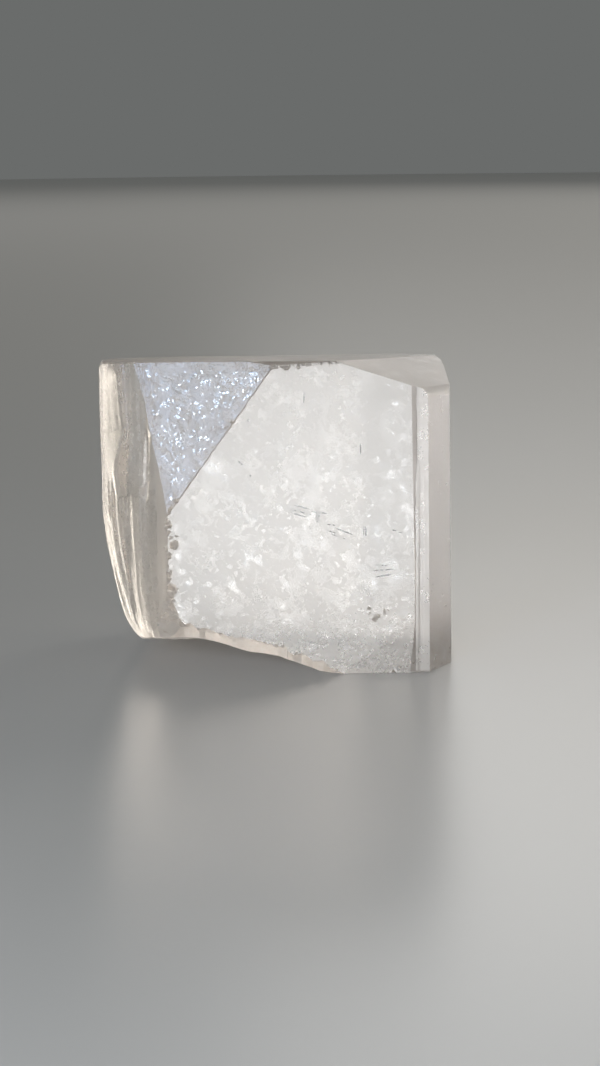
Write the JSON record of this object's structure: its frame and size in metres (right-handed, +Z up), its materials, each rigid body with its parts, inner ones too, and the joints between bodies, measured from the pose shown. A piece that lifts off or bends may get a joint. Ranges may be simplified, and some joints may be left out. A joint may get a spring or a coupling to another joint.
{
  "type": "topaz crystal",
  "caption": "Clear natural topaz crystal: an upright, nearly square prism, split flat across its top and broken across its foot, with a lined left side and chipped edges.",
  "frame": {"origin": "centre of the box round the crystal, on the plane it rests on", "axes": "+X to the crystal's right seen from its flat front face, +Y away from that face towards its back, +Z up"},
  "size_m": [0.0282, 0.0206, 0.0242],
  "materials": {
    "topaz": "clear, faintly beige natural crystal: etched flat faces, upright growth lines on the left, broken and lightly stained at the chips"
  },
  "bodies": {
    "root": {"topaz_crystal": "topaz"}
  },
  "joints": []
}
